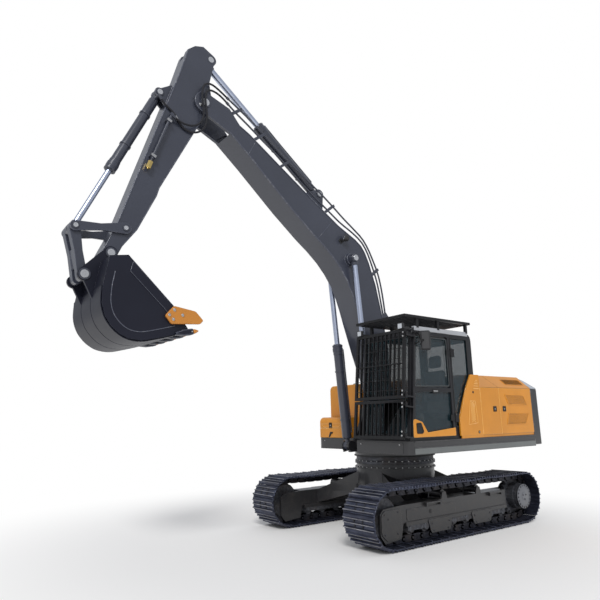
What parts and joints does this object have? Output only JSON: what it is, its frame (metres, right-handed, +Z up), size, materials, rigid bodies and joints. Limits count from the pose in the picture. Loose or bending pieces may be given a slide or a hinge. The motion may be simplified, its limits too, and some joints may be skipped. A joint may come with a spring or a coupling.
{
  "type": "crawler excavator",
  "caption": "Tracked excavator with a slewing upper body, guarded cab, two-piece digging arm and toothed bucket, for digging and loading earth.",
  "frame": {"origin": "centre of the bottom of the bounding box, at ground level under the tracks", "axes": "+X forward, the way the boom reaches; +Y to the machine's left, the cab side; +Z up"},
  "size_m": [8.339, 2.9, 7.3888],
  "materials": {
    "body_paint": "worn semi-gloss orange-ochre paint",
    "attachment_paint": "worn slate-black paint, rubbed to steel on the bucket",
    "frame_paint": "dusty satin dark grey paint",
    "cab_paint": "satin black paint",
    "track_steel": "dark worn steel, bright on the edges",
    "cast_iron": "dull dark casting",
    "rod_chrome": "polished hard chrome",
    "cab_glass": "tinted clear glass",
    "seat_fabric": "dark woven upholstery",
    "interior_plastic": "dark moulded plastic",
    "hose_rubber": "black rubber hose"
  },
  "bodies": {
    "undercarriage": {"car_body": "frame_paint", "swing_bearing": "cast_iron", "track_left": "track_steel", "track_frame_left": "frame_paint", "bottom_rollers_left": "cast_iron", "idler_left": "cast_iron", "sprocket_left": "cast_iron", "track_right": "track_steel", "track_frame_right": "frame_paint", "bottom_rollers_right": "cast_iron", "idler_right": "cast_iron", "sprocket_right": "cast_iron"},
    "upperstructure": {"revolving_frame": "frame_paint", "counterweight": "attachment_paint", "engine_block": "cast_iron", "fuel_tank": "body_paint", "hydraulic_tank": "body_paint", "cowl": "body_paint", "cab_side_panel": "body_paint", "tool_box": "body_paint", "front_window": "cab_glass", "right_window": "cab_glass", "rear_window": "cab_glass", "quarter_window": "cab_glass", "seat_base": "interior_plastic", "seat_cushion": "seat_fabric", "seat_back": "seat_fabric", "cab_shell": "cab_paint", "roof_guard": "cab_paint"},
    "front_service_door": {"service_door_front": "body_paint"},
    "rear_service_door": {"service_door_rear": "body_paint"},
    "pump_bay_door": {"pump_door": "body_paint"},
    "hood": {"engine_hood": "body_paint"},
    "box_lid": {"tool_box_lid": "body_paint"},
    "door": {"cab_door": "cab_paint", "door_window": "cab_glass"},
    "upper_guard": {"guard_upper": "cab_paint"},
    "lower_guard": {"guard_lower": "cab_paint"},
    "boom": {"boom": "attachment_paint", "boom_pipes": "attachment_paint", "arm_hose_upper": "hose_rubber", "arm_hose_lower": "hose_rubber"},
    "arm": {"arm": "attachment_paint", "arm_pipe": "attachment_paint", "hose_union": "attachment_paint", "bucket_hose": "hose_rubber"},
    "bucket": {"bucket": "attachment_paint"},
    "rocker": {"rocker_link_left": "attachment_paint", "rocker_link_right": "attachment_paint"},
    "bucket_link": {"h_link": "attachment_paint"},
    "boom_cylinder_left_barrel": {"boom_cylinder_left_barrel": "attachment_paint"},
    "boom_cylinder_left_rod": {"boom_cylinder_left_rod": "rod_chrome"},
    "boom_cylinder_right_barrel": {"boom_cylinder_right_barrel": "attachment_paint"},
    "boom_cylinder_right_rod": {"boom_cylinder_right_rod": "rod_chrome"},
    "arm_cylinder_barrel": {"arm_cylinder_barrel": "attachment_paint"},
    "arm_cylinder_rod": {"arm_cylinder_rod": "rod_chrome"},
    "bucket_cylinder_barrel": {"bucket_cylinder_barrel": "attachment_paint"},
    "bucket_cylinder_rod": {"bucket_cylinder_rod": "rod_chrome"}
  },
  "joints": [
    {"name": "swing", "type": "hinge", "parent": "undercarriage", "child": "upperstructure", "pos_m": [-1.38947, 0, 1.1], "axis": [0, 0, 1], "continuous": true},
    {"name": "boom", "type": "hinge", "parent": "upperstructure", "child": "boom", "pos_m": [-1.21747, -0.1, 1.978], "axis": [0, -1, 0], "range_deg": [-95, 4]},
    {"name": "arm", "type": "hinge", "parent": "boom", "child": "arm", "pos_m": [2.37469, -0.1, 6.41395], "axis": [0, -1, 0], "range_deg": [-32, 80], "deforming": ["arm_hose_upper", "arm_hose_lower"]},
    {"name": "bucket", "type": "hinge", "parent": "arm", "child": "bucket", "pos_m": [3.66146, -0.1, 3.82176], "axis": [0, -1, 0], "range_deg": [-65, 100]},
    {"name": "cab_door", "type": "hinge", "parent": "upperstructure", "child": "door", "pos_m": [-1.31147, 1.402, 2.2], "axis": [0, 0, 1], "range_deg": [0, 110]},
    {"name": "guard_upper", "type": "hinge", "parent": "upperstructure", "child": "upper_guard", "pos_m": [-0.21984, 1.415, 1.99], "axis": [-0.1002, 0, 0.995], "range_deg": [0, 100]},
    {"name": "guard_lower", "type": "hinge", "parent": "upperstructure", "child": "lower_guard", "pos_m": [-0.16246, 1.415, 1.42], "axis": [-0.1002, 0, 0.995], "range_deg": [0, 100]},
    {"name": "service_door_front", "type": "hinge", "parent": "upperstructure", "child": "front_service_door", "pos_m": [-1.98947, 1.4, 1.8], "axis": [0, 0, -1], "range_deg": [0, 110]},
    {"name": "service_door_rear", "type": "hinge", "parent": "upperstructure", "child": "rear_service_door", "pos_m": [-3.47447, 1.4, 1.8], "axis": [0, 0, 1], "range_deg": [0, 110]},
    {"name": "pump_door", "type": "hinge", "parent": "upperstructure", "child": "pump_bay_door", "pos_m": [-3.47447, -1.4, 1.8], "axis": [0, 0, -1], "range_deg": [0, 110]},
    {"name": "engine_hood", "type": "hinge", "parent": "upperstructure", "child": "hood", "pos_m": [-2.31947, 0, 2.44], "axis": [0, 1, 0], "range_deg": [0, 70]},
    {"name": "tool_box_lid", "type": "hinge", "parent": "upperstructure", "child": "box_lid", "pos_m": [-1.13747, 0, 1.755], "axis": [0, -1, 0], "range_deg": [0, 80]},
    {"name": "boom_cylinder_left_tilt", "type": "hinge", "parent": "upperstructure", "child": "boom_cylinder_left_barrel", "pos_m": [-0.71347, 0.23, 1.274], "axis": [0, -1, 0], "range_deg": [-89.06, 4.23]},
    {"name": "boom_cylinder_left_stroke", "type": "slide", "parent": "boom_cylinder_left_barrel", "child": "boom_cylinder_left_rod", "axis": [0.093, 0, 0.9957], "range_m": [-1.26967, 0.05825]},
    {"name": "boom_cylinder_right_tilt", "type": "hinge", "parent": "upperstructure", "child": "boom_cylinder_right_barrel", "pos_m": [-0.71347, -0.43, 1.274], "axis": [0, -1, 0], "range_deg": [-89.06, 4.23]},
    {"name": "boom_cylinder_right_stroke", "type": "slide", "parent": "boom_cylinder_right_barrel", "child": "boom_cylinder_right_rod", "axis": [0.093, 0, 0.9957], "range_m": [-1.26967, 0.05825]},
    {"name": "arm_cylinder_tilt", "type": "hinge", "parent": "boom", "child": "arm_cylinder_barrel", "pos_m": [0.1074, -0.1, 5.53361], "axis": [0, -1, 0], "range_deg": [-1.71, 3.53]},
    {"name": "arm_cylinder_stroke", "type": "slide", "parent": "arm_cylinder_barrel", "child": "arm_cylinder_rod", "axis": [0.7888, 0, 0.6146], "range_m": [-0.99858, 0.40243]},
    {"name": "bucket_cylinder_tilt", "type": "hinge", "parent": "arm", "child": "bucket_cylinder_barrel", "pos_m": [3.04058, -0.1, 6.41069], "axis": [0, -1, 0], "range_deg": [-4.3, 6.34], "deforming": ["bucket_hose"]},
    {"name": "bucket_cylinder_stroke", "type": "slide", "parent": "bucket_cylinder_barrel", "child": "bucket_cylinder_rod", "axis": [0.4184, 0, -0.9083], "range_m": [-0.60645, 0.39594]},
    {"name": "rocker", "type": "hinge", "parent": "arm", "child": "rocker", "pos_m": [3.47427, -0.1, 4.19885], "axis": [0, -1, 0], "range_deg": [-42.1, 64.5]},
    {"name": "bucket_link", "type": "hinge", "parent": "rocker", "child": "bucket_link", "pos_m": [4.09753, -0.1, 4.116], "axis": [0, -1, 0], "range_deg": [-25.61, 16.82]}
  ],
  "couplings": [
    {"joint": "boom_cylinder_left_tilt", "follows": "boom", "ratio": 0.93219},
    {"joint": "boom_cylinder_left_stroke", "follows": "boom", "m_per_rad": 0.76274},
    {"joint": "boom_cylinder_right_tilt", "follows": "boom", "ratio": 0.93219},
    {"joint": "boom_cylinder_right_stroke", "follows": "boom", "m_per_rad": 0.76274},
    {"joint": "arm_cylinder_tilt", "follows": "arm", "ratio": 0.03791},
    {"joint": "arm_cylinder_stroke", "follows": "arm", "m_per_rad": -0.7116},
    {"joint": "bucket_cylinder_tilt", "follows": "bucket", "ratio": 0.05844},
    {"joint": "bucket_cylinder_stroke", "follows": "bucket", "m_per_rad": -0.34461},
    {"joint": "rocker", "follows": "bucket", "ratio": 0.64},
    {"joint": "bucket_link", "follows": "bucket", "ratio": -0.25115}
  ]
}
